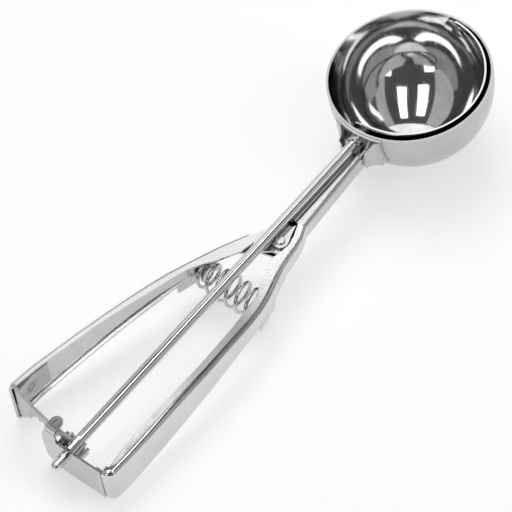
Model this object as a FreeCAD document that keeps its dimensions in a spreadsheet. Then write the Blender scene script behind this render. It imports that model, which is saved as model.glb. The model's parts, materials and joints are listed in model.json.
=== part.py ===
import FreeCAD, Part
import Sketcher
import math
import os

# Squeeze-handle scoop: a round bowl on a folded shank, a fixed grip, a sprung lever whose toothed
# strip turns a rod, and a blade on that rod that sweeps the bowl clean.
# Design frame in mm: +Y runs along the rod to the bowl, the bowl's centre is the origin, +Z is up
# from the plane of the handles, the fixed grip is on +X and the lever on -X.

os.makedirs("parts", exist_ok=True)
doc = FreeCAD.newDocument("scoop")
Vec = FreeCAD.Vector
X_AXIS = Vec(1, 0, 0)
Y_AXIS = Vec(0, 1, 0)
Z_AXIS = Vec(0, 0, 1)

SIZES = {
    "bowl_radius": 28.5,
    "bowl_wall": 0.8,
    "rim_height": 4.0,
    "rim_roll": 3.0,
    "sheet_wall": 0.9,
    "plate_wall": 0.8,
    "running_gap": 0.05,
    "joint_gap": 0.02,
    "saddle_inner": 28.56,
    "saddle_outer": 29.46,
    "saddle_half_width": 9.3,
    "saddle_top": 3.8,
    "saddle_bottom": -8.5,
    "rod_radius": 1.9,
    "rod_length": 162.9,
    "rod_bowl_end": -25.6,
    "bush_radius": 2.8,
    "bush_length": 3.4,
    "bush_start": -31.0,
    "collar_radius": 3.4,
    "collar_length": 0.45,
    "collar_start": -27.35,
    "rivet_radius": 1.2,
    "blade_outer": 26.8,
    "blade_inner": 26.2,
    "blade_half_width": 6.0,
    "blade_tilt": 0.7,
    "blade_ear_radius": 5.2,
    "pivot_across": 3.3,
    "pivot_along": -75.0,
    "pin_radius": 1.1,
    "pin_head_radius": 1.6,
    "gear_module": 0.85,
    "gear_teeth": 10,
    "gear_start": -181.0,
    "gear_length": 5.4,
    "rack_mid_radius": 104.1,
    "rack_wall": 1.0,
    "end_face": -182.0,
    "spring_along": -96.7,
    "spring_height": -8.7,
    "spring_wire": 1.3,
    "spring_turns": 6.25,
    "shank_top": -2.3,
    "shank_bottom": -9.0,
    "lever_top": -3.4,
    "lever_bottom": -7.8,
    "foot_depth": 11.5,
}

sheet = doc.addObject("Spreadsheet::Sheet", "sizes")
for row, (alias, number) in enumerate(SIZES.items(), start=1):
    sheet.set(f"A{row}", alias)
    sheet.set(f"B{row}", str(number))
    sheet.setAlias(f"B{row}", alias)
doc.recompute()


def size(alias):
    return float(sheet.get(alias))


WALL = size("sheet_wall")
PIVOT = Vec(size("pivot_across"), size("pivot_along"), 0)
ROLL = FreeCAD.Placement(Vec(0, 0, 0), FreeCAD.Rotation(Y_AXIS, -size("rim_roll")))
nodes = {}


def bind(item, **formulas):
    for name, formula in formulas.items():
        item.setExpression(name, formula)
    return item


def node(label, item):
    item.Label = label
    nodes[label] = item
    return item


def feature(label, shape):
    item = doc.addObject("Part::Feature", label)
    item.Shape = shape
    return node(label, item)


def along(table, position):
    """Height or width read off a short table of (position, value) pairs, in falling position."""
    first = table[0]
    if position >= first[0]:
        return first[1]
    for last in table[1:]:
        if position >= last[0]:
            share = (position - first[0]) / (last[0] - first[0])
            return first[1] + share * (last[1] - first[1])
        first = last
    return table[-1][1]


def rounded_wire(corners, radii):
    """Closed wire through the corners, with an arc of the given radius at each (0 keeps it sharp)."""
    count = len(corners)
    starts = []
    ends = []
    middles = []
    for index, corner in enumerate(corners):
        back = (corners[index - 1] - corner).normalize()
        ahead = (corners[(index + 1) % count] - corner).normalize()
        radius = radii[index]
        if radius == 0:
            starts.append(corner)
            ends.append(corner)
            middles.append(None)
            continue
        half = back.getAngle(ahead) / 2
        reach = radius / math.tan(half)
        centre = corner + (back + ahead).normalize() * (radius / math.sin(half))
        starts.append(corner + back * reach)
        ends.append(corner + ahead * reach)
        middles.append(centre + (corner - centre).normalize() * radius)
    edges = []
    for index in range(count):
        if middles[index] is not None:
            edges.append(Part.Arc(starts[index], middles[index], ends[index]).toShape())
        edges.append(Part.makeLine(ends[index], starts[(index + 1) % count]))
    return Part.Wire(edges)


def flat(points, height):
    return [Vec(x, y, height) for x, y in points]


def prism(points, low, high, radii=None):
    """Upright plate over a plan outline, from one height to another."""
    radii = radii or [0] * len(points)
    return Part.Face(rounded_wire(flat(points, low), radii)).extrude(Z_AXIS * (high - low))


def plan_curve(points):
    curve = Part.BSplineCurve()
    curve.interpolate([Vec(x, y, 0) for x, y in points])
    return curve


def curve_point(curve, along_y):
    """Point and unit direction of a plan curve where it crosses one position along the handle."""
    low, high = curve.FirstParameter, curve.LastParameter
    for _ in range(50):
        middle = (low + high) / 2
        if curve.value(middle).y > along_y:
            low = middle
        else:
            high = middle
    return curve.value(low), curve.tangent(low)[0]


def web_spots(curve, positions, depth, side):
    """Plan points at one depth inward of a grip's outer line."""
    spots = []
    for position in positions:
        origin, direction = curve_point(curve, position)
        spot = origin + direction.cross(Z_AXIS).normalize() * side * depth
        spots.append((spot.x, spot.y))
    return spots


def web_band(curve, ends, depths, heights, side):
    """Plate that follows a grip's web: between two depths inward of its outer line."""
    positions = [ends[0] + (ends[1] - ends[0]) * step / 4 for step in range(5)]
    near = web_spots(curve, positions, depths[0], side)
    far = web_spots(curve, positions, depths[1], side)
    return prism(near + far[::-1], heights[0], heights[1])


def sketch_on(body, role, name):
    plane = next(item for item in body.Origin.OriginFeatures if item.Role == role)
    sketch = body.newObject("Sketcher::SketchObject", name)
    sketch.AttachmentSupport = (plane, "")
    sketch.MapMode = "FlatFace"
    return sketch


def add_outline(sketch, points):
    """Closed outline of straight lines, its corners tied together."""
    first = sketch.GeometryCount
    count = len(points)
    for index in range(count):
        start = Vec(*points[index], 0)
        end = Vec(*points[(index + 1) % count], 0)
        sketch.addGeometry(Part.LineSegment(start, end), False)
    for index in range(count):
        following = first + (index + 1) % count
        sketch.addConstraint(Sketcher.Constraint("Coincident", first + index, 2, following, 1))


def add_circle(sketch, radius, formula, centre=(0, 0)):
    """Circle whose radius follows a formula on the sheet."""
    index = sketch.addGeometry(Part.Circle(Vec(*centre, 0), Z_AXIS, radius), False)
    if centre == (0, 0):
        sketch.addConstraint(Sketcher.Constraint("Coincident", index, 3, -1, 1))
    rule = sketch.addConstraint(Sketcher.Constraint("Radius", index, radius))
    sketch.renameConstraint(rule, f"radius_{index}")
    sketch.setExpression(f"Constraints.radius_{index}", formula)


def revolve(body, sketch, axis):
    turn = body.newObject("PartDesign::Revolution", "turn")
    turn.Profile = sketch
    turn.ReferenceAxis = (sketch, [axis])
    turn.Angle = 360
    return turn


def pocket_through(body, sketch, length, reverse, name):
    cut = body.newObject("PartDesign::Pocket", name)
    cut.Profile = sketch
    cut.Reversed = reverse
    bind(cut, Length=length)
    return cut


# ---------------------------------------------------------------- bowl

bowl = doc.addObject("PartDesign::Body", "bowl")
profile = sketch_on(bowl, "XZ_Plane", "bowl_profile")
outer = size("bowl_radius")
inner = outer - size("bowl_wall")
rim = size("rim_height")
profile.addGeometry(Part.ArcOfCircle(Part.Circle(Vec(), Z_AXIS, outer), -math.pi / 2, 0), False)
profile.addGeometry(Part.LineSegment(Vec(outer, 0, 0), Vec(outer, rim, 0)), False)
profile.addGeometry(Part.LineSegment(Vec(outer, rim, 0), Vec(inner, rim, 0)), False)
profile.addGeometry(Part.LineSegment(Vec(inner, rim, 0), Vec(inner, 0, 0)), False)
profile.addGeometry(Part.ArcOfCircle(Part.Circle(Vec(), Z_AXIS, inner), -math.pi / 2, 0), False)
profile.addGeometry(Part.LineSegment(Vec(0, -inner, 0), Vec(0, -outer, 0)), False)
for rule in [
    ("Coincident", 0, 3, -1, 1),
    ("Coincident", 4, 3, -1, 1),
    ("Coincident", 0, 2, 1, 1),
    ("Coincident", 1, 2, 2, 1),
    ("Coincident", 2, 2, 3, 1),
    ("Coincident", 3, 2, 4, 2),
    ("Coincident", 4, 1, 5, 1),
    ("Coincident", 5, 2, 0, 1),
    ("Vertical", 1),
    ("Horizontal", 2),
    ("Vertical", 3),
    ("PointOnObject", 5, 1, -2),
    ("PointOnObject", 5, 2, -2),
    ("PointOnObject", 0, 2, -1),
    ("PointOnObject", 4, 2, -1),
]:
    profile.addConstraint(Sketcher.Constraint(*rule))
for name, rule, formula in [
    ("outer", ("Radius", 0, outer), "sizes.bowl_radius"),
    ("inner", ("Radius", 4, inner), "sizes.bowl_radius - sizes.bowl_wall"),
    ("rim", ("DistanceY", 1, 1, 1, 2, rim), "sizes.rim_height"),
]:
    index = profile.addConstraint(Sketcher.Constraint(*rule))
    profile.renameConstraint(index, name)
    profile.setExpression(f"Constraints.{name}", formula)
revolve(bowl, profile, "V_Axis")
near_hole = sketch_on(bowl, "XZ_Plane", "near_hole_outline")
add_circle(near_hole, 2.82, "sizes.bush_radius + sizes.joint_gap")
pocket_through(bowl, near_hole, "sizes.bowl_radius + 5", True, "near_hole")
far_hole = sketch_on(bowl, "XZ_Plane", "far_hole_outline")
add_circle(far_hole, 1.22, "sizes.rivet_radius + sizes.joint_gap")
pocket_through(bowl, far_hole, "sizes.bowl_radius + 5", False, "far_hole")
node("bowl", bowl)

# ---------------------------------------------------------------- rod, its bush, collar and gear


def turned(label, points):
    """Body turned about the rod's line; points are (radius, position along the rod)."""
    body = doc.addObject("PartDesign::Body", label)
    sketch = sketch_on(body, "XY_Plane", f"{label}_profile")
    add_outline(sketch, points)
    revolve(body, sketch, "V_Axis")
    return node(label, body)


rod_radius = size("rod_radius")
rod_end = size("rod_bowl_end") - size("rod_length")
rod = doc.addObject("PartDesign::Body", "rod")
profile = sketch_on(rod, "XY_Plane", "rod_profile")
dome = rod_end + rod_radius
top = size("rod_bowl_end")
profile.addGeometry(
    Part.ArcOfCircle(Part.Circle(Vec(0, dome, 0), Z_AXIS, rod_radius), -math.pi / 2, 0), False
)
profile.addGeometry(Part.LineSegment(Vec(rod_radius, dome, 0), Vec(rod_radius, top, 0)), False)
profile.addGeometry(Part.LineSegment(Vec(rod_radius, top, 0), Vec(0, top, 0)), False)
profile.addGeometry(Part.LineSegment(Vec(0, top, 0), Vec(0, rod_end, 0)), False)
for rule in [
    ("Coincident", 0, 2, 1, 1),
    ("Coincident", 1, 2, 2, 1),
    ("Coincident", 2, 2, 3, 1),
    ("Coincident", 3, 2, 0, 1),
    ("PointOnObject", 0, 3, -2),
    ("PointOnObject", 3, 1, -2),
    ("PointOnObject", 3, 2, -2),
    ("Vertical", 1),
    ("Horizontal", 2),
]:
    profile.addConstraint(Sketcher.Constraint(*rule))
for name, rule, formula in [
    ("radius", ("Radius", 0, rod_radius), "sizes.rod_radius"),
    ("length", ("DistanceY", 3, 2, 3, 1, size("rod_length")), "sizes.rod_length"),
]:
    index = profile.addConstraint(Sketcher.Constraint(*rule))
    profile.renameConstraint(index, name)
    profile.setExpression(f"Constraints.{name}", formula)
revolve(rod, profile, "V_Axis")
node("rod", rod)


def ring(label, outer_rule, inner_rule, length_rule, start_rule):
    """Plain ring about the rod's line, cut from two bound cylinders."""
    parts = []
    for name, rule in (("outer", outer_rule), ("hole", inner_rule)):
        item = doc.addObject("Part::Cylinder", f"{label}_{name}")
        bind(item, Radius=rule, Height=length_rule)
        item.Placement = FreeCAD.Placement(
            Vec(0, size(start_rule), 0), FreeCAD.Rotation(X_AXIS, -90)
        )
        parts.append(item)
    cut = doc.addObject("Part::Cut", label)
    cut.Base, cut.Tool = parts
    return node(label, cut)


ring(
    "rod_bearing", "sizes.bush_radius", "sizes.rod_radius + sizes.running_gap",
    "sizes.bush_length", "bush_start",
)
ring(
    "rod_collar", "sizes.collar_radius", "sizes.rod_radius + sizes.joint_gap",
    "sizes.collar_length", "collar_start",
)

module = size("gear_module")
teeth = int(size("gear_teeth"))
pitch_radius = module * teeth / 2
pinion = doc.addObject("PartDesign::Body", "pinion")
gear_offset = FreeCAD.Placement(Vec(0, 0, -size("gear_start") - size("gear_length")), FreeCAD.Rotation())
blank = sketch_on(pinion, "XZ_Plane", "gear_blank")
blank.AttachmentOffset = gear_offset
add_circle(blank, pitch_radius + module, "sizes.gear_module * (sizes.gear_teeth / 2 + 1)")
add_circle(blank, rod_radius + 0.02, "sizes.rod_radius + sizes.joint_gap")
pad = pinion.newObject("PartDesign::Pad", "gear_pad")
pad.Profile = blank
bind(pad, Length="sizes.gear_length")
gap = sketch_on(pinion, "XZ_Plane", "tooth_gap")
gap.AttachmentOffset = gear_offset
root = pitch_radius - 1.3 * module
tip = pitch_radius + module + 0.5
add_outline(
    gap,
    [(-0.64, root), (0.64, root), (0.84, pitch_radius), (1.46, tip), (-1.46, tip), (-0.84, pitch_radius)],
)
tooth_cut = pinion.newObject("PartDesign::Pocket", "tooth_cut")
tooth_cut.Profile = gap
tooth_cut.Reversed = True
bind(tooth_cut, Length="sizes.gear_length")
pattern = pinion.newObject("PartDesign::PolarPattern", "teeth")
pattern.Originals = [tooth_cut]
pattern.Axis = (blank, ["N_Axis"])
pattern.Angle = 360
bind(pattern, Occurrences="sizes.gear_teeth")
pinion.Tip = pattern
node("pinion", pinion)

# ---------------------------------------------------------------- blade and its far rivet


def ball(name, rule):
    item = doc.addObject("Part::Sphere", name)
    return bind(item, Radius=rule)


def difference(name, base, tool):
    item = doc.addObject("Part::Cut", name)
    item.Base = base
    item.Tool = tool
    return item


def overlap(name, base, tool):
    item = doc.addObject("Part::Common", name)
    item.Base = base
    item.Tool = tool
    return item


def union(name, items):
    item = doc.addObject("Part::MultiFuse", name)
    item.Shapes = items
    return item


shell = difference(
    "blade_shell", ball("blade_ball", "sizes.blade_outer"), ball("blade_void", "sizes.blade_inner")
)
slab = doc.addObject("Part::Box", "blade_slab")
bind(
    slab,
    Length="sizes.blade_outer + 1",
    Width="2 * sizes.blade_outer + 2",
    Height="2 * sizes.blade_half_width",
)
tilt = FreeCAD.Rotation(Y_AXIS, -size("blade_tilt"))
slab_corner = Vec(0, -size("blade_outer") - 1, -size("blade_half_width"))
slab.Placement = FreeCAD.Placement(tilt.multVec(slab_corner), tilt)
ears = doc.addObject("Part::Cylinder", "blade_ears")
bind(ears, Radius="sizes.blade_ear_radius", Height="2 * sizes.blade_outer + 2")
ears.Placement = FreeCAD.Placement(Vec(0, -size("blade_outer") - 1, 0), FreeCAD.Rotation(X_AXIS, -90))
strip = overlap("blade_strip", shell, union("blade_reach", [slab, ears]))
near_bore = doc.addObject("Part::Cylinder", "blade_near_bore")
bind(near_bore, Radius="sizes.rod_radius + sizes.joint_gap", Height="10")
near_bore.Placement = FreeCAD.Placement(Vec(0, -30, 0), FreeCAD.Rotation(X_AXIS, -90))
far_bore = doc.addObject("Part::Cylinder", "blade_far_bore")
bind(far_bore, Radius="sizes.rivet_radius + sizes.running_gap", Height="10")
far_bore.Placement = FreeCAD.Placement(Vec(0, 20, 0), FreeCAD.Rotation(X_AXIS, -90))
node("blade", difference("blade", strip, union("blade_bores", [near_bore, far_bore])))

rivet = size("rivet_radius")
turned(
    "far_rivet",
    [(0, 25.45), (1.9, 25.45), (2.2, 25.65), (2.2, 26.0), (rivet, 26.0), (rivet, 28.5), (2.5, 28.5),
     (2.3, 28.9), (1.6, 29.2), (0, 29.3)],
)

# ---------------------------------------------------------------- bowl saddle


def cup(radius, height):
    """Solid with the bowl's outside form: half a ball under a short drum."""
    return Part.makeSphere(radius).fuse(Part.makeCylinder(radius, height))


def saddle_shape():
    plate = cup(size("saddle_outer"), 10).cut(cup(size("saddle_inner"), 11))
    half = size("saddle_half_width")
    top = size("saddle_top")
    bottom = size("saddle_bottom")
    edge = Part.makePolygon([
        Vec(-half, -10, top), Vec(half, -10, top), Vec(half - 0.2, -10, -2), Vec(half, -10, bottom - 1.4),
        Vec(5.2, -10, bottom + 1.2), Vec(-5.2, -10, bottom + 1.2), Vec(-half, -10, bottom - 1.4),
        Vec(0.2 - half, -10, -2), Vec(-half, -10, top),
    ])
    front = Part.Face(edge).extrude(Y_AXIS * -30)
    plate = plate.common(front)
    flares = []
    for side, reach in ((-1, -4.14), (1, 4.86)):
        outside = reach + side * 5.2
        ring_part = Part.makeCylinder(5.2, 20, Vec(outside, -32.8, -8.4))
        core = Part.makeCylinder(5.2 - WALL, 20, Vec(outside, -32.8, -8.4))
        inside = reach - side * 0.5
        slope = Part.makePolygon([
            Vec(inside, -24, bottom), Vec(outside, -24, bottom), Vec(outside, -24, top),
            Vec(reach + side * 2.6, -24, top - 0.6), Vec(inside, -24, -2.0), Vec(inside, -24, bottom),
        ])
        quarter = Part.Face(slope).extrude(Y_AXIS * -8.8)
        flares.append(ring_part.cut(core).common(quarter).common(front))
    for flare in flares:
        plate = plate.fuse(flare)
    plate = plate.cut(cup(size("saddle_inner"), 11))
    bush_hole = Part.makeCylinder(size("bush_radius") + size("joint_gap"), 20, Vec(0, -40, 0), Y_AXIS)
    plate = plate.cut(bush_hole)
    return plate.removeSplitter()


# ---------------------------------------------------------------- shank

SHANK_RIGHT = [(-24, 4.7), (-34, 4.9), (-46.5, 5.6), (-58.8, 6.4), (-66, 6.8)]
SEAM = [(-24, 2.0), (-46.5, 2.5), (-66, 2.9)]


def shank_section(position):
    left = -3.6
    right = along(SHANK_RIGHT, position)
    seam = along(SEAM, position)
    high = size("shank_top")
    low = size("shank_bottom")
    corners = [
        (seam - 0.2, high), (left, high), (left, low), (right, low), (right, high), (seam + 0.2, high),
        (seam + 0.2, high - WALL), (right - WALL, high - WALL), (right - WALL, low + WALL),
        (left + WALL, low + WALL), (left + WALL, high - WALL), (seam - 0.2, high - WALL),
    ]
    radii = [0, 1.5, 1.5, 1.5, 1.5, 0, 0, 0.6, 0.6, 0.6, 0.6, 0]
    return rounded_wire([Vec(x, position, z) for x, z in corners], radii)


def shank_shape():
    tube = Part.makeLoft([shank_section(y) for y in (-24, -34, -46.5, -58.8, -66)], True, True)
    tube = tube.cut(Part.makeSphere(size("saddle_outer") + size("joint_gap")))
    tube = tube.cut(Part.makeCylinder(size("bush_radius") + 0.3, 9, Vec(0, -33, 0), Y_AXIS))
    high = size("shank_top")
    low = size("shank_bottom")
    tongue = prism(
        [(-3.6, -65.9), (3.3, -65.9), (4.8, -71.0), (6.0, -74.4), (6.0, -77.7), (0.6, -77.7), (-2.6, -71)],
        high - WALL, high, [0, 0, 0, 0, 2.4, 2.4, 2],
    )
    ear = prism(
        [(-3.0, -65.9), (4.2, -65.9), (4.6, -68.5), (5.9, -73.0), (6.2, -79), (0, -79), (-3.0, -72)],
        low, low + WALL, [0, 0, 0, 0, 3.0, 3.0, 2],
    )
    shape = tube.fuse([tongue, ear])
    shape = shape.cut(Part.makeCylinder(1.4, 3, Vec(2.2, -67.1, high - 2)))
    shape = shape.cut(Part.makeCylinder(size("pin_radius") + size("joint_gap"), 12, PIVOT - Z_AXIS * 12))
    return shape.removeSplitter()


# ---------------------------------------------------------------- channel grips


def channel_section(origin, inward, heights, widths, rounding, lean):
    """Open channel section: top flange, web and bottom lip, all of the same sheet."""
    high, low = heights
    flange, lip = widths

    def spot(across, height):
        return origin + inward * across + Z_AXIS * height

    corners = [
        spot(flange, high), spot(0, high), spot(lean, low), spot(lean + lip, low),
        spot(lean + lip, low + WALL), spot(lean + WALL, low + WALL), spot(WALL, high - WALL),
        spot(flange, high - WALL),
    ]
    inner_round = max(rounding - WALL, 0.3)
    return rounded_wire(corners, [0, rounding, 1.3, 0, 0, 0.4, inner_round, 0])


GRIP_START = -66.0
GRIP_END = -178.4
GRIP_OUTER = [
    (7.0, GRIP_START), (9.8, -74.5), (10.6, -80.5), (12.6, -87.7), (15.1, -96.0), (16.5, -103.0),
    (17.6, -114.6), (18.6, -126.5), (19.2, -140.0), (19.7, -155.0), (19.9, -168.0), (19.7, GRIP_END),
]
GRIP_TOP = [(-97, -2.3), (-110, -0.5), (-125, 1.5), (-150, 3.5), (-182, 4.4)]
GRIP_BOTTOM = [
    (-67, -9.0), (-76, -9.8), (-88, -10.1), (-98, -10.2), (-110, -9.5), (-125, -9.5), (-150, -10.6),
    (-182, -11.5),
]
GRIP_FLANGE = [
    (-66, 3.3), (-74, 3.1), (-77.5, 3.9), (-80, 5.1), (-84, 7.0), (-89, 5.7), (-95, 4.2), (-104, 4.9),
    (-112, 4.4), (-127, 4.3), (-145, 4.5), (-160, 5.2), (-168, 5.0), (-174, 4.2), (-182, 2.4),
]
GRIP_LIP = [(-66, 2.2), (-84, 2.0), (-90, 0.95), (-104, 0.95), (-112, 1.8), (-182, 1.8)]
GRIP_CORNER = 3.6


def grip_section(origin, inward, position):
    heights = (along(GRIP_TOP, position), along(GRIP_BOTTOM, position))
    widths = (along(GRIP_FLANGE, position), along(GRIP_LIP, position) + 0.3)
    rounding = along([(-66, 1.2), (-100, 2.4), (-140, 2.6), (-182, 2.0)], position)
    return channel_section(origin, inward, heights, widths, rounding, 0.3)


def grip_shape():
    curve = plan_curve(GRIP_OUTER)
    stations = [
        GRIP_START, -70, -74, -78, -82, -86, -90, -95, -100, -106, -112, -120, -130, -140, -150, -160, -170,
        GRIP_END,
    ]
    sections = []
    for position in stations:
        origin, direction = curve_point(curve, position)
        if position in (GRIP_START, GRIP_END):
            direction = -Y_AXIS
        sections.append(grip_section(origin, direction.cross(Z_AXIS).normalize(), position))
    body = Part.makeLoft(sections, True, True)
    centre = Vec(GRIP_OUTER[-1][0] - GRIP_CORNER, GRIP_END, 0)
    end_face = Part.Face(sections[-1])
    corner = end_face.revolve(centre, Z_AXIS, -90)
    stub = end_face.copy()
    stub.rotate(centre, Z_AXIS, -90)
    wrap = stub.extrude(X_AXIS * -0.5)
    seat = web_band(curve, (-91.5, -102.5), (0.36, 0.26 + WALL), (-12.2, -9.4), 1)
    shape = body.fuse([corner, wrap])
    return shape.fuse(seat).removeSplitter()


LEVER_END = -173.5
LEVER_OUTER = [
    (-3.3, -72.0), (-5.9, -76.0), (-9.7, -83.0), (-12.6, -90.0), (-15.2, -98.0), (-17.4, -105.0),
    (-19.9, -115.0), (-22.1, -125.0), (-24.0, -135.0), (-25.8, -145.0), (-27.5, -155.0), (-29.0, -165.0),
    (-29.6, LEVER_END),
]
LEVER_TOP = [
    (-79, -2.1), (-84, -1.9), (-90, -1.2), (-96, -0.3), (-112, 2.0), (-135, 4.2), (-160, 6.0), (-176, 7.5),
]
LEVER_STEP = -79.0
LEVER_BOTTOM = [(-72, -7.8), (-110, -8.3), (-135, -9.3), (-160, -11.2), (-176, -12.0)]
LEVER_FLANGE = [
    (-72, 3.0), (-85, 6.0), (-92, 5.2), (-101, 3.2), (-115, 3.6), (-135, 3.0), (-152, 2.7), (-176, 2.4),
]
LEVER_LIP = [(-72, 2.0), (-82, 1.8), (-88, 0.95), (-106, 0.95), (-112, 1.6), (-176, 1.6)]


def lever_section(origin, inward, position, high):
    heights = (high, along(LEVER_BOTTOM, position))
    widths = (along(LEVER_FLANGE, position), along(LEVER_LIP, position) + 0.3)
    rounding = along([(-72, 1.2), (-100, 1.6), (-176, 1.8)], position)
    return channel_section(origin, inward, heights, widths, rounding, 0.3)


def lever_shape():
    curve = plan_curve(LEVER_OUTER)
    high = size("lever_top")
    low = size("lever_bottom")
    front = []
    sections = []
    for position in [-72.5, -75.5, LEVER_STEP]:
        origin, direction = curve_point(curve, position)
        front.append(lever_section(origin, Z_AXIS.cross(direction).normalize(), position, high))
    body_stations = [
        LEVER_STEP, -84, -88, -92, -97, -102, -108, -115, -124, -134, -144, -154, -164, LEVER_END,
    ]
    for position in body_stations:
        origin, direction = curve_point(curve, position)
        inward = Z_AXIS.cross(direction).normalize()
        sections.append(lever_section(origin, inward, position, along(LEVER_TOP, position)))
    body = Part.makeLoft(sections, True, True)
    neck = Part.makeLoft(front, True, True)
    riser_ends = (LEVER_STEP + 0.5, LEVER_STEP - 0.6)
    riser = prism(
        web_spots(curve, riser_ends, 0.45, -1) + web_spots(curve, riser_ends[::-1], 3.9, -1),
        high - 0.45, LEVER_TOP[0][1] - 0.45,
    )
    origin, direction = curve_point(curve, LEVER_END)
    inward = Z_AXIS.cross(direction).normalize()
    wrap = Part.Face(sections[-1]).revolve(origin + inward * 3.2, Z_AXIS, 50)
    head_root = web_spots(curve, (-86.5, -82.5, -78.5, -74.5), 0.45, -1)
    head = prism(
        [(3.3, -71.0), (7.3, -71.0), (7.3, -79.0), (3.0, -79.2), (-3.2, -84.5), (-7.2, -87.2)] + head_root,
        high - WALL, high, [0, 3.4, 3.6, 2.5, 3, 1.5, 0, 0, 0, 0],
    )
    ear_root = web_spots(curve, (-81.0, -77.5, -74.5), 0.45, -1)
    ear = prism(
        [(3.3, -71.2), (7.1, -71.2), (7.1, -79.0), (2.5, -79.2), (-5.8, -81.8)] + ear_root,
        low, low + WALL, [0, 3.4, 3.4, 3, 0, 0, 0, 0],
    )
    apron = web_band(curve, (-90.5, -106.0), (0.36, 0.26 + WALL), (-12.8, -7.4), -1)
    shape = body.fuse([wrap, neck, riser, head, ear, apron])
    shape = shape.cut(Part.makeCylinder(size("pin_radius") + size("running_gap"), 12, PIVOT - Z_AXIS * 12))
    return shape.removeSplitter()


# ---------------------------------------------------------------- toothed strip of the lever

RACK_FREE_END = 1.33
RACK_ROOT = -18.9
RACK_LOBE = -26.9


def rack_angle(arc_position):
    """Angle about the pivot of a place on the strip, counted from the meshing tooth."""
    return arc_position / size("rack_mid_radius")


def rack_sector(start, end, low, high):
    """Piece of the bent strip between two places along its arc."""
    mid = size("rack_mid_radius")
    half = size("rack_wall") / 2
    meshing = math.atan2(-math.sqrt(mid ** 2 - PIVOT.x ** 2), -PIVOT.x)
    angles = [meshing + rack_angle(place) for place in (start, (start + end) / 2, end)]

    def spots(radius):
        return [PIVOT + Vec(math.cos(a), math.sin(a), 0) * radius + Z_AXIS * low for a in angles]

    near = spots(mid - half)
    far = spots(mid + half)
    outline = Part.Wire([
        Part.Arc(*near).toShape(), Part.makeLine(near[2], far[2]),
        Part.Arc(*reversed(far)).toShape(), Part.makeLine(far[0], near[0]),
    ])
    return Part.Face(outline).extrude(Z_AXIS * (high - low))


def rack_gap(place):
    """Tapered gap between two teeth, pointing at the pivot."""
    pitch_height = pitch_radius
    outline = [
        (-1.22, 2.9), (1.22, 2.9), (0.80, pitch_height), (0.45, 5.3), (-0.45, 5.3), (-0.80, pitch_height),
    ]
    mid = size("rack_mid_radius")
    meshing = math.atan2(-math.sqrt(mid ** 2 - PIVOT.x ** 2), -PIVOT.x)
    turn = math.degrees(meshing + rack_angle(place)) + 90
    face = Part.Face(Part.makePolygon([Vec(x, -mid - 3, z) for x, z in outline + outline[:1]]))
    tool = face.extrude(Y_AXIS * 6)
    tool.rotate(Vec(), Z_AXIS, turn)
    tool.translate(Vec(PIVOT.x, PIVOT.y, 0))
    return tool


def rack_shape():
    strip = rack_sector(RACK_ROOT, RACK_FREE_END, 3.4, 8.2)
    pitch = math.pi * module
    for step in range(-1, 7):
        strip = strip.cut(rack_gap(-pitch * (step + 0.5)))
    lobe = rack_sector(RACK_LOBE, RACK_ROOT, -7.5, 8.2)
    slant = Part.Face(Part.makePolygon([
        Vec(-18, -170, -8), Vec(-18, -170, 0), Vec(-22, -170, -4), Vec(-24.5, -170, -8), Vec(-18, -170, -8)
    ])).extrude(Y_AXIS * -12)
    lobe = lobe.cut(slant)
    tab = prism(
        [
            (-28.3, -173.4), (-27.8, -166.0), (-26.85, -159.6), (-25.9, -159.8), (-26.85, -166.0),
            (-26.6, -174.0), (-25.6, -174.5), (-25.6, -175.2), (-26.6, -174.9), (-27.6, -174.5),
        ],
        -6.5, 4.0,
    )
    return strip.fuse([lobe, tab]).removeSplitter()


# ---------------------------------------------------------------- end plate


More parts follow.
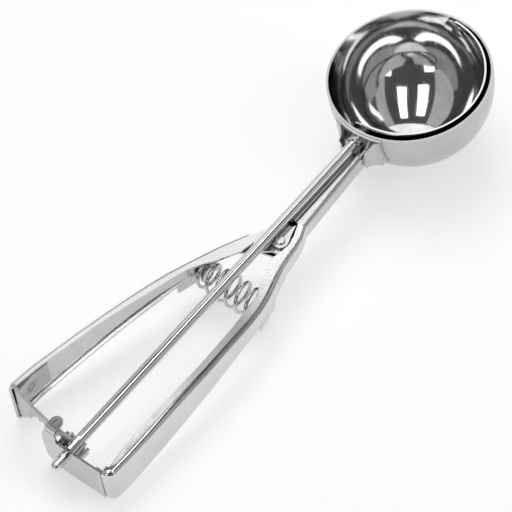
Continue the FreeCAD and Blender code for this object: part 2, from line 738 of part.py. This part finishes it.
def end_plate_body():
    face_y = size("end_face")
    body = doc.addObject("PartDesign::Body", "end_plate")
    outline = sketch_on(body, "XZ_Plane", "plate_outline")
    outline.AttachmentOffset = FreeCAD.Placement(Vec(0, 0, -face_y), FreeCAD.Rotation())
    add_outline(outline, [
        (-9.4, 5.6), (-9.4, -0.8), (-8.7, -7.4), (-6.3, -9.7), (-2.7, -11.2), (5.0, -11.5), (15.4, -11.5),
        (15.4, 4.0), (-2.9, 4.1), (-3.3, 4.9), (-3.3, 9.0), (-7.6, 9.0),
    ])
    add_circle(outline, rod_radius + 0.05, "sizes.rod_radius + sizes.running_gap")
    pad = body.newObject("PartDesign::Pad", "plate_pad")
    pad.Profile = outline
    pad.Reversed = True
    bind(pad, Length="sizes.plate_wall")
    fold = sketch_on(body, "YZ_Plane", "tongue_profile")
    fold.AttachmentOffset = FreeCAD.Placement(Vec(0, 0, -7.6), FreeCAD.Rotation())
    wall = size("plate_wall")
    add_outline(fold, [
        (face_y, 8.5), (face_y + 0.25, 9.5), (face_y + 0.8, 10.2), (face_y + 1.8, 10.5),
        (face_y + 6.3, 10.5),
        (face_y + 6.3, 10.5 - wall), (face_y + 1.9, 10.5 - wall), (face_y + 1.3, 9.45),
        (face_y + wall + 0.1, 9.0), (face_y + wall, 8.5),
    ])
    tongue = body.newObject("PartDesign::Pad", "tongue_pad")
    tongue.Profile = fold
    tongue.Length = 4.3
    leg = sketch_on(body, "XY_Plane", "weld_leg_plan")
    leg.AttachmentOffset = FreeCAD.Placement(Vec(0, 0, -9.0), FreeCAD.Rotation())
    add_outline(leg, [
        (12.0, face_y + wall), (15.4, face_y + wall), (15.4, face_y + 1.35), (16.5, face_y + 1.35),
        (16.5, face_y + 2.1), (12.0, face_y + 2.1),
    ])
    leg_pad = body.newObject("PartDesign::Pad", "weld_leg")
    leg_pad.Profile = leg
    leg_pad.Length = 11.0
    doc.recompute()
    tip = face_y + 6.3
    corners = [
        f"Edge{number}" for number, edge in enumerate(leg_pad.Shape.Edges, start=1)
        if abs(edge.BoundBox.YMin - tip) < 0.01 and abs(edge.BoundBox.YMax - tip) < 0.01
        and edge.BoundBox.ZLength > 0.5
    ]
    rounding = body.newObject("PartDesign::Fillet", "tongue_rounding")
    rounding.Base = (leg_pad, corners)
    rounding.Radius = 2.1
    dimple = sketch_on(body, "XY_Plane", "tongue_dimple")
    dimple.AttachmentOffset = FreeCAD.Placement(Vec(0, 0, 10.5), FreeCAD.Rotation())
    add_outline(dimple, [
        (-6.3, face_y + 2.4), (-5.8, face_y + 2.0), (-5.1, face_y + 2.0), (-4.6, face_y + 2.4),
        (-4.6, face_y + 4.6), (-5.1, face_y + 5.0), (-5.8, face_y + 5.0), (-6.3, face_y + 4.6),
    ])
    press = body.newObject("PartDesign::Pocket", "dimple")
    press.Profile = dimple
    press.Length = 0.3
    return node("end_plate", body)


end_plate_body()

# ---------------------------------------------------------------- pivot pin, spring and its studs


def pin_shape():
    radius = size("pin_radius")
    head = size("pin_head_radius")
    shaft = Part.makeCylinder(radius, 7.3, PIVOT + Z_AXIS * -9.3)
    top_head = Part.makeCylinder(head, 0.55, PIVOT + Z_AXIS * (size("shank_top") + 0.01))
    top_head = top_head.makeChamfer(0.2, [top_head.Edges[0]])
    low_head = Part.makeCylinder(head + 0.3, 0.5, PIVOT + Z_AXIS * (size("shank_bottom") - 0.51))
    return shaft.fuse([top_head, low_head]).removeSplitter()


SPRING_START = -13.4
SPRING_END = 13.9


def spring_shape():
    """Barrel-shaped coil between the two webs, with its axis along X."""
    turns = size("spring_turns")
    steps = int(turns * 16)
    wire = size("spring_wire") / 2
    start = SPRING_START + wire
    length = SPRING_END - SPRING_START - 2 * wire
    points = []
    for step in range(steps + 1):
        share = step / steps
        angle = 2 * math.pi * turns * share
        radius = 4.45 + 0.8 * (1 - (2 * share - 1) ** 2)
        points.append(Vec(
            start + length * share,
            size("spring_along") - radius * math.sin(angle),
            size("spring_height") + radius * math.cos(angle),
        ))
    path = Part.BSplineCurve()
    path.interpolate(points)
    spine = Part.Wire(path.toShape())
    first = path.value(path.FirstParameter)
    direction = path.tangent(path.FirstParameter)[0]
    section = Part.Wire(Part.makeCircle(wire, first, direction))
    return spine.makePipeShell([section], True, True)


def stud(outer_line, side, tip):
    """Round boss inside an end coil, its root trimmed just inside the grip's web and lip."""
    middle = Vec(side * tip, size("spring_along"), size("spring_height"))
    drum = Part.makeCylinder(3.0, 8, middle, X_AXIS * side)
    root = web_spots(plan_curve(outer_line), (-91, -94, -97, -100, -103), 1.6, side)
    beyond = prism(root + [(side * 40, -103), (side * 40, -91)], -20, 0)
    return drum.cut(beyond)


feature("bowl_saddle", saddle_shape())
feature("shank", shank_shape())
feature("fixed_grip", grip_shape())
feature("lever", lever_shape())
feature("lever_rack", rack_shape())
feature("pivot_pin", pin_shape())
feature("spring", spring_shape())
feature("spring_stud_fixed", stud(GRIP_OUTER, 1, 11.4))
feature("spring_stud_lever", stud(LEVER_OUTER, -1, 10.9))

# ---------------------------------------------------------------- rest attitude and export

doc.recompute()
foot = math.hypot(size("end_face"), size("foot_depth"))
tilt_angle = math.asin(size("bowl_radius") / foot) - math.atan2(size("foot_depth"), -size("end_face"))
rest = FreeCAD.Placement(Vec(), FreeCAD.Rotation(X_AXIS, math.degrees(tilt_angle)))
own_turn = {"bowl": ROLL, "bowl_saddle": ROLL}
whole = FreeCAD.BoundBox()
for label, item in nodes.items():
    shape = item.Shape.copy()
    shape.Placement = rest.multiply(own_turn.get(label, FreeCAD.Placement()))
    whole.add(shape.optimalBoundingBox(False))
seat = FreeCAD.Placement(
    Vec(-whole.Center.x, -whole.Center.y, -whole.ZMin), FreeCAD.Rotation()
)
shared = seat.multiply(rest)
for label, item in nodes.items():
    item.Placement = shared.multiply(own_turn.get(label, FreeCAD.Placement()))
doc.recompute()

for item in doc.Objects:
    if "Invalid" in item.State or "Error" in item.State:
        raise RuntimeError(f"{item.Name} did not compute: {item.State}")
for label, item in nodes.items():
    shape = item.Shape
    if shape.isNull() or not shape.isValid():
        raise RuntimeError(f"{label} is not a valid solid")
    if len(shape.Solids) != 1:
        raise RuntimeError(f"{label} has {len(shape.Solids)} solids")
    shape.exportStep(f"parts/{label}.step")
    print(label, round(shape.Volume, 1), shape.BoundBox)
print("seat", [round(value, 5) for value in shared.Base], "tilt", math.degrees(tilt_angle))
print("whole", round(whole.XLength, 2), round(whole.YLength, 2), round(whole.ZLength, 2))
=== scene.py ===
import json
import math

import bmesh
import bpy
from mathutils import Matrix, Vector


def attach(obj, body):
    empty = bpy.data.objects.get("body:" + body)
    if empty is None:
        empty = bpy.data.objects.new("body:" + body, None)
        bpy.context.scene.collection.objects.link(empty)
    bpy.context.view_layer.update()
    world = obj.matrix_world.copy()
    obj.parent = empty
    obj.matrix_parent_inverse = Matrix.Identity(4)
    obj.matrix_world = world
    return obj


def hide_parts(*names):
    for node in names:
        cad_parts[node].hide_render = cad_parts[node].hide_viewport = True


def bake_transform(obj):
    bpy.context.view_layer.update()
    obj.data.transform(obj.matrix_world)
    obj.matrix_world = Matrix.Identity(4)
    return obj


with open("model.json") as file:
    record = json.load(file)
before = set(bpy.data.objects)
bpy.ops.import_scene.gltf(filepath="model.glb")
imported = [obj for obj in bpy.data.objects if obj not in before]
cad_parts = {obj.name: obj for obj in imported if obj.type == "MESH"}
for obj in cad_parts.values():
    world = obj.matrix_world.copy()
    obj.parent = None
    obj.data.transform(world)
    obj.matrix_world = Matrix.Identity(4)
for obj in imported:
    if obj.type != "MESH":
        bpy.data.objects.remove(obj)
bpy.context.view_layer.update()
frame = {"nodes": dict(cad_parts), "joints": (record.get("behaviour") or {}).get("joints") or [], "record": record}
scene = bpy.context.scene
nodes = frame["nodes"]
joints = {joint["name"]: joint for joint in frame["joints"]}

MM = 0.001
ROD_JOINT_TO_BOWL = 90 * MM

# The scoop's own directions: along the rod to the bowl, across to the fixed grip, and up out of the bowl.
ALONG = Vector(joints["rod_spin"]["axis"]).normalized()
ACROSS = Vector((1, 0, 0))
UP = ACROSS.cross(ALONG).normalized()
BOWL = Vector(joints["rod_spin"]["pos_m"]) + ALONG * ROD_JOINT_TO_BOWL


def spot(x, y, z):
    """A place in mm from the bowl's centre, in the row frame in metres."""
    return BOWL + (ACROSS * x + ALONG * y + UP * z) * MM


def direction(x, y, z):
    return (ACROSS * x + ALONG * y + UP * z).normalized()


def place_in_scene(name, data):
    item = bpy.data.objects.new(name, data)
    scene.collection.objects.link(item)
    return item


# ---------------------------------------------------------------- finishes

# Noise cells per metre along X, Y and Z.
BRUSHING = (4000, 160, 4000)
CLOUDS = (90, 90, 90)
SPECKS = (1500, 1500, 1500)
# Grain of the painted reflection band on the grips' tops.
PAINTED_BAND_GRAIN = (1800, 1400, 1800)
WELD_RIPPLE = (700, 700, 700)
FLOOR_CLOUDS = (3, 3, 3)
PANEL_CLOUDS = (4, 4, 4)


class Finish:
    """Node material built up from small helpers."""

    def __init__(self, name):
        self.material = bpy.data.materials.new(name)
        self.material.use_nodes = True
        self.tree = self.material.node_tree
        self.tree.nodes.clear()
        self.output = self.add("ShaderNodeOutputMaterial")
        self.shader = self.add("ShaderNodeBsdfPrincipled")
        self.link(self.shader.outputs["BSDF"], self.output.inputs["Surface"])
        coordinates = self.add("ShaderNodeTexCoord")
        self.place = coordinates.outputs["Object"]
        self.facing = coordinates.outputs["Normal"]

    def add(self, kind):
        return self.tree.nodes.new(kind)

    def link(self, source, target):
        self.tree.links.new(source, target)

    def noise(self, scale, detail):
        """Noise with its own number of cells per metre along X, Y and Z."""
        mapping = self.add("ShaderNodeMapping")
        mapping.inputs["Scale"].default_value = scale
        self.link(self.place, mapping.inputs["Vector"])
        return self.noise_at(mapping.outputs["Vector"], detail)

    def noise_at(self, place, detail):
        node = self.add("ShaderNodeTexNoise")
        node.inputs["Scale"].default_value = 1.0
        node.inputs["Detail"].default_value = detail
        node.inputs["Roughness"].default_value = 0.6
        self.link(place, node.inputs["Vector"])
        return node.outputs["Fac"]

    def ramp(self, source, *stops):
        """Maps a texture through stops of (position, grey value or colour)."""
        node = self.add("ShaderNodeValToRGB")
        points = node.color_ramp.elements
        while len(points) < len(stops):
            points.new(0.5)
        for point, (position, value) in zip(points, stops):
            point.position = position
            point.color = (value, value, value, 1) if isinstance(value, float) else (*value, 1)
        self.link(source, node.inputs["Fac"])
        return node.outputs["Color"]

    def math(self, operation, first, second):
        node = self.add("ShaderNodeMath")
        node.operation = operation
        for socket, value in zip(node.inputs, (first, second)):
            if isinstance(value, (int, float)):
                socket.default_value = value
            else:
                self.link(value, socket)
        return node.outputs[0]

    def vector_math(self, operation, source, vector):
        """One number out of a vector: its distance from, or dot product with, a fixed one."""
        node = self.add("ShaderNodeVectorMath")
        node.operation = operation
        node.inputs[1].default_value = vector
        self.link(source, node.inputs[0])
        return node.outputs["Value"]

    def multiply(self, first, second):
        node = self.add("ShaderNodeMix")
        node.data_type = "RGBA"
        node.blend_type = "MULTIPLY"
        node.inputs["Factor"].default_value = 1.0
        self.link(first, node.inputs["A"])
        self.link(second, node.inputs["B"])
        return node.outputs["Result"]

    def spokes(self):
        """Fine scratches that run out from the bottom of the bowl."""
        turns = 140.0
        per_metre = 260.0
        seat = self.add("ShaderNodeMapping")
        seat.inputs["Location"].default_value = -BOWL
        self.link(self.place, seat.inputs["Vector"])
        around = self.add("ShaderNodeTexGradient")
        around.gradient_type = "RADIAL"
        self.link(seat.outputs["Vector"], around.inputs["Vector"])
        height = self.add("ShaderNodeSeparateXYZ")
        self.link(seat.outputs["Vector"], height.inputs[0])
        joined = self.add("ShaderNodeCombineXYZ")
        self.link(self.math("MULTIPLY", around.outputs["Fac"], turns), joined.inputs[0])
        self.link(self.math("MULTIPLY", height.outputs["Z"], per_metre), joined.inputs[1])
        return self.noise_at(joined.outputs[0], 4.0)

    def bump(self, source, strength, distance):
        node = self.add("ShaderNodeBump")
        node.inputs["Strength"].default_value = strength
        node.inputs["Distance"].default_value = distance
        self.link(source, node.inputs["Height"])
        return node


def steel(name, tint, rough, grain, scratch=0.12, patch=None, lining=False):
    """Polished steel: tint range, roughness range, and its fine grain's depth in metres and strength."""
    finish = Finish(name)
    fine = finish.spokes() if lining else finish.noise(BRUSHING, 5.0)
    cloud = finish.noise(CLOUDS, 3.0)
    speck = finish.noise(SPECKS, 2.0)
    mottle = finish.math("ADD", finish.math("MULTIPLY", speck, 0.45), finish.math("MULTIPLY", cloud, 0.55))
    low, high = (tuple(value * share for value in (1.0, 1.0, 1.005)) for share in tint)
    colour = finish.ramp(mottle, (0.35, low), (0.65, high))
    if patch:
        colour = patch(finish, colour)
    finish.link(colour, finish.shader.inputs["Base Color"])
    finish.link(finish.ramp(fine, (0.3, rough[0]), (0.7, rough[1])), finish.shader.inputs["Roughness"])
    finish.shader.inputs["Metallic"].default_value = 1.0
    first = finish.bump(fine, scratch, grain)
    second = finish.bump(speck, 0.10, grain)
    finish.link(first.outputs["Normal"], second.inputs["Normal"])
    finish.link(second.outputs["Normal"], finish.shader.inputs["Normal"])
    return finish.material


def weld_spot(centre, radius):
    """Dull ring and stain left by a spot weld."""
    reach = radius * 4

    def patch(finish, colour):
        away = finish.vector_math("DISTANCE", finish.place, centre)
        ripple = finish.math("MULTIPLY", finish.noise(WELD_RIPPLE, 3.0), radius * 0.9)
        share = finish.math("DIVIDE", finish.math("ADD", away, ripple), reach)
        ring = finish.ramp(share, (0.0, 0.85), (0.225, 0.80), (0.3125, 0.50), (0.425, 0.78), (0.65, 1.0))
        return finish.multiply(colour, ring)

    return patch


def painted_reflection_band(near, far, shade):
    """Painted reflection: a grainy, darker stretch painted on a grip's upward-facing top, between two places in mm
    along the rod.
    """
    start = BOWL.dot(ALONG) + far * MM
    length = (near - far) * MM

    def patch(finish, colour):
        travel = finish.vector_math("DOT_PRODUCT", finish.place, ALONG)
        share = finish.math("DIVIDE", finish.math("SUBTRACT", travel, start), length)
        band = finish.ramp(share, (0.0, 1.0), (0.35, shade + 0.12), (0.72, shade), (1.0, 1.0))
        grain = finish.ramp(finish.noise(PAINTED_BAND_GRAIN, 2.0), (0.38, 0.90), (0.62, 1.08))
        band_shade = finish.multiply(band, grain)
        # The painted reflection darkens only the faces that are turned up.
        level = finish.vector_math("DOT_PRODUCT", finish.facing, UP)
        on_top = finish.ramp(level, (0.55, 0.0), (0.85, 1.0))
        painted_darkening = finish.math("MULTIPLY", on_top, finish.math("SUBTRACT", 1.0, band_shade))
        return finish.multiply(colour, finish.math("SUBTRACT", 1.0, painted_darkening))

    return patch


polished = steel("polished_steel", (0.66, 0.76), (0.05, 0.12), 0.000004)
lining = steel("bowl_lining", (0.58, 0.72), (0.03, 0.13), 0.000005, scratch=0.3, lining=True)
satin = steel("satin_steel", (0.50, 0.56), (0.22, 0.34), 0.00001)
pressed = steel("pressed_steel", (0.56, 0.66), (0.10, 0.22), 0.000005)
# The fixed grip's top gets a painted reflection: a grainy darker stretch along the rod.
grip = steel("grip_steel", (0.64, 0.72), (0.08, 0.20), 0.000005, patch=painted_reflection_band(-88, -160, 0.42))
strip_weld = weld_spot(spot(-27, -168, -1), 1.6 * MM)
strip = steel("strip_steel", (0.40, 0.50), (0.24, 0.38), 0.00001, patch=strip_weld)
tooth = steel("tooth_steel", (0.62, 0.74), (0.10, 0.20), 0.000005)
pin = steel("pin_steel", (0.44, 0.56), (0.16, 0.28), 0.00001)
wire = steel("spring_steel", (0.50, 0.66), (0.06, 0.14), 0.000004)

# ---------------------------------------------------------------- the object

FINISHES = {
    "bowl": satin,
    "bowl_saddle": satin,
    "shank": pressed,
    "fixed_grip": grip,
    "end_plate": pressed,
    "pivot_pin": pressed,
    "far_rivet": pin,
    "rod_bearing": pin,
    "spring_stud_fixed": pressed,
    "lever": pressed,
    "lever_rack": strip,
    "spring_stud_lever": pressed,
    "rod": polished,
    "pinion": tooth,
    "blade": polished,
    "rod_collar": pin,
}
BODIES = frame["record"]["behaviour"]["bodies"]
BODY = {name: body for body, members in BODIES.items() for name in members}
CREASE_ANGLE = math.radians(35)
WELD_DISTANCE = 0.004 * MM


def smooth_copy(name, material):
    """Stands for a CAD node: the same surface welded into one skin with smooth shading."""
    mesh = nodes[name].data.copy()
    piece = place_in_scene(f"{name}_skin", mesh)
    build = bmesh.new()
    build.from_mesh(mesh)
    bmesh.ops.remove_doubles(build, verts=build.verts, dist=WELD_DISTANCE)
    build.to_mesh(mesh)
    build.free()
    custom = mesh.attributes.get("custom_normal")
    if custom is not None:
        mesh.attributes.remove(custom)
    for face in mesh.polygons:
        face.use_smooth = True
    mesh.set_sharp_from_angle(angle=CREASE_ANGLE)
    mesh.materials.clear()
    mesh.materials.append(material)
    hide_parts(name)
    return piece


def line_inside(piece, material):
    """Gives the faces that look towards the bowl's centre their own finish."""
    piece.data.materials.append(material)
    for face in piece.data.polygons:
        if face.normal.dot(face.center - BOWL) < 0:
            face.material_index = 1


for name, material in FINISHES.items():
    piece = smooth_copy(name, material)
    if name == "bowl":
        line_inside(piece, lining)
    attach(piece, BODY[name])

spring = smooth_copy("spring", wire)
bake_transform(spring)

# ---------------------------------------------------------------- camera

CAMERA_AIM = spot(0, -90, 0)
CAMERA_DISTANCE = 1501.5 * MM
CAMERA_TURN = math.radians(47.69)
CAMERA_DIP = math.radians(55.57)
CAMERA_ROLL = math.radians(10.32)


def viewing_line():
    """Turned from the rod's line away from the fixed grip's side, and dipped down into the bowl."""
    level = ALONG * math.cos(CAMERA_TURN) - ACROSS * math.sin(CAMERA_TURN)
    return level * math.cos(CAMERA_DIP) - UP * math.sin(CAMERA_DIP)


look = viewing_line()
right = look.cross(UP).normalized()
upward = right.cross(look) * math.cos(CAMERA_ROLL) + right * math.sin(CAMERA_ROLL)
right = look.cross(upward)

camera_data = bpy.data.cameras.new("camera")
camera_data.sensor_width = 36
camera_data.lens = 318.65
camera_data.shift_x = 0.0238
camera_data.shift_y = 0.0133
camera_data.clip_start = 0.1
camera_data.clip_end = 30
camera_data.dof.use_dof = False
camera = place_in_scene("camera", camera_data)
camera.location = CAMERA_AIM - look * CAMERA_DISTANCE
camera.rotation_mode = "QUATERNION"
camera.rotation_quaternion = Matrix((right, upward, -look)).transposed().to_quaternion()
scene.camera = camera

# ---------------------------------------------------------------- stage

FLOOR_HALF_WIDTH = 6
FLOOR_DROP = 0.2 * MM
LAMP_DISTANCE = 1.3


def floor_finish():
    """Plain pale paint that glows a little, so that shadows on it stay soft and light."""
    paint = (0.80, 0.80, 0.80)
    finish = Finish("floor_paint")
    near = tuple(value * 0.99 for value in paint)
    colour = finish.ramp(finish.noise(FLOOR_CLOUDS, 2.0), (0.3, near), (0.7, paint))
    finish.link(colour, finish.shader.inputs["Base Color"])
    finish.shader.inputs["Roughness"].default_value = 0.6
    finish.shader.inputs["Emission Color"].default_value = (*paint, 1)
    finish.shader.inputs["Emission Strength"].default_value = 0.62
    return finish.material


def softbox(name, centre, aim, width, height, power):
    """Area lamp that lights the floor and the dull steel, and isn't mirrored."""
    light = bpy.data.lights.new(name, "AREA")
    light.shape = "RECTANGLE"
    light.size = width
    light.size_y = height
    light.energy = power
    lamp = place_in_scene(name, light)
    lamp.location = centre
    lamp.rotation_mode = "QUATERNION"
    lamp.rotation_quaternion = (aim - centre).to_track_quat("-Z", "Y")
    lamp.visible_glossy = False


def towards(yaw, pitch):
    """Direction from the bowl, in degrees to the right of and above the viewing line."""
    yaw = math.radians(yaw)
    pitch = math.radians(pitch)
    level = -look * math.cos(yaw) + right * math.sin(yaw)
    return level * math.cos(pitch) + upward * math.sin(pitch)


def panel(name, yaws, pitches, radiance, distance=1.1, steps=12):
    """Glowing curved wall, mirrored by the steel, that fills a window of directions around the bowl."""
    finish = Finish(name)
    finish.shader.inputs["Base Color"].default_value = (0, 0, 0, 1)
    finish.shader.inputs["Emission Strength"].default_value = radiance
    glow = finish.ramp(finish.noise(PANEL_CLOUDS, 2.0), (0.3, 0.8), (0.7, 1.0))
    finish.link(glow, finish.shader.inputs["Emission Color"])
    points = []
    for row in range(steps + 1):
        pitch = pitches[0] + (pitches[1] - pitches[0]) * row / steps
        for column in range(steps + 1):
            yaw = yaws[0] + (yaws[1] - yaws[0]) * column / steps
            points.append(BOWL + towards(yaw, pitch) * distance)
    faces = []
    for row in range(steps):
        for column in range(steps):
            first = row * (steps + 1) + column
            faces.append((first, first + 1, first + steps + 2, first + steps + 1))
    mesh = bpy.data.meshes.new(name)
    mesh.from_pydata(points, [], faces)
    mesh.materials.append(finish.material)
    piece = place_in_scene(name, mesh)
    piece.visible_camera = False
    piece.visible_shadow = False
    piece.visible_diffuse = False


floor_mesh = bpy.data.meshes.new("floor")
square = [(-1, -1), (1, -1), (1, 1), (-1, 1)]
floor_points = [(x * FLOOR_HALF_WIDTH, y * FLOOR_HALF_WIDTH, 0) for x, y in square]
floor_mesh.from_pydata(floor_points, [], [(0, 1, 2, 3)])
floor_mesh.materials.append(floor_finish())
floor = place_in_scene("floor", floor_mesh)
floor.location = (0, 0, -FLOOR_DROP)

grips_middle = spot(0, -80, 0)
for name, aim, width, height, power in (
    ("key_light", direction(-0.42, 0.38, 0.82), 0.95, 0.95, 4.0),
    ("side_light", direction(0.75, 0.45, 0.6), 0.5, 0.9, 2.0),
    ("top_light", Vector((0, 0, 1)), 2.0, 2.0, 7.0),
):
    softbox(name, grips_middle + aim * LAMP_DISTANCE, grips_middle, width, height, power)

panel("ceiling", (-75, 75), (59, 100), 1.45, distance=1.3)
panel("strip_right", (4, 17), (4, 50), 3.6)
panel("strip_left", (-28, -13), (1, 46), 3.6)
panel("wall_right", (36, 80), (-20, 58), 0.50)
panel("wall_left", (-78, -38), (-20, 58), 0.55)
panel("window_right", (27, 44), (-26, -11), 2.6)
panel("window_left", (-39, -23), (-34, -17), 2.6)
panel("far_wall", (95, 160), (20, 80), 0.7, distance=1.2)
panel("lever_wall", (-150, -85), (0, 70), 0.8, distance=1.2)

world = bpy.data.worlds.new("studio")
scene.world = world
world.use_nodes = True
background = world.node_tree.nodes["Background"]
background.inputs["Color"].default_value = (1, 1, 1, 1)
background.inputs["Strength"].default_value = 0.09

scene.view_settings.view_transform = "Standard"
scene.view_settings.look = "None"
scene.view_settings.exposure = 0.0
scene.view_settings.gamma = 1.0
